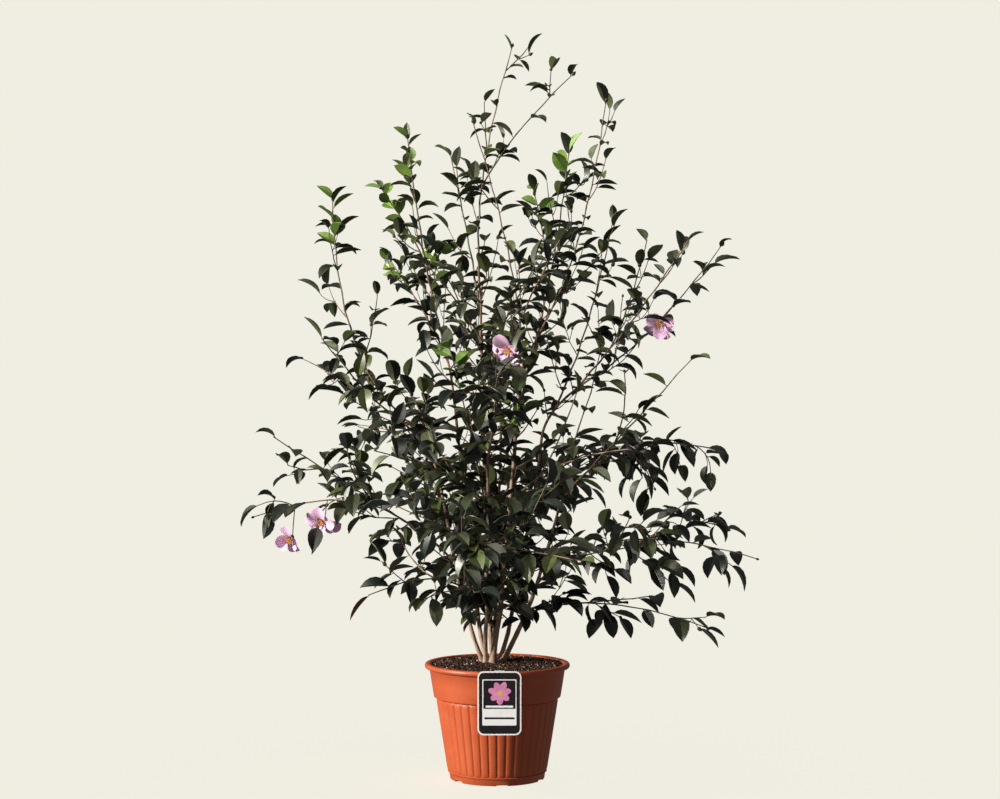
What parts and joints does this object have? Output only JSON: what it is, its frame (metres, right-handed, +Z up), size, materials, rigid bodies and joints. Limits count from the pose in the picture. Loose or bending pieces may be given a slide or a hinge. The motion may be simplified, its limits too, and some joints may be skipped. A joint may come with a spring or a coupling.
{
  "type": "potted shrub",
  "caption": "Potted flowering shrub: upright stems from one root crown, an open rising crown of small glossy leaves and a few pink blooms, in a fluted plastic pot.",
  "frame": {"origin": "centre of the pot's flat underside, on the ground", "axes": "+Z up along the pot's axis, -Y towards the side with the plant label, +X to the viewer's right"},
  "size_m": [0.8826, 0.7096, 1.2434],
  "materials": {
    "pot": "satin",
    "soil": "matte",
    "bark": "matte",
    "foliage": "satin",
    "label": "satin"
  },
  "bodies": {
    "root": {"pot": "pot", "potting_soil": "soil", "plant_label": "label", "root_crown": "bark", "stem_left": "bark", "stem_left_back": "bark", "stem_centre": "bark", "stem_main": "bark", "stem_right": "bark", "stem_right_back": "bark", "stem_front": "bark", "stem_back": "bark", "bough_left_high": "bark", "bough_left_low": "bark", "bough_upper_left": "bark", "bough_top": "bark", "bough_upper_right": "bark", "bough_right_high": "bark", "bough_right_mid": "bark", "bough_right_low": "bark", "bough_front_high": "bark", "bough_front_low": "bark", "bough_back_high": "bark", "bough_back_low": "bark", "foliage_top": "foliage", "foliage_crossing": "foliage", "foliage_top_left": "foliage", "foliage_upper_left": "foliage", "foliage_left_tall": "foliage", "foliage_left_inner": "foliage", "foliage_upper_right": "foliage", "foliage_top_right": "foliage", "foliage_right_inner": "foliage", "foliage_right_tall": "foliage", "foliage_right_reach": "foliage", "foliage_right_mid": "foliage", "foliage_left_mid": "foliage", "foliage_left_reach": "foliage", "foliage_left_low": "foliage", "foliage_left_droop": "foliage", "foliage_front_skirt": "foliage", "foliage_right_shoulder": "foliage", "foliage_right_low": "foliage", "foliage_right_low_front": "foliage", "foliage_right_skirt": "foliage", "foliage_front_low_left": "foliage", "foliage_front_low_right": "foliage", "foliage_front_mid": "foliage", "foliage_front_left": "foliage", "foliage_front_right": "foliage", "foliage_front_high_right": "foliage", "foliage_front_high_left": "foliage", "foliage_back_low_left": "foliage", "foliage_back_low_right": "foliage", "foliage_back_mid": "foliage", "foliage_back_left": "foliage", "foliage_back_right": "foliage", "foliage_back_high_left": "foliage", "foliage_back_high_right": "foliage", "foliage_core": "foliage"}
  },
  "joints": []
}
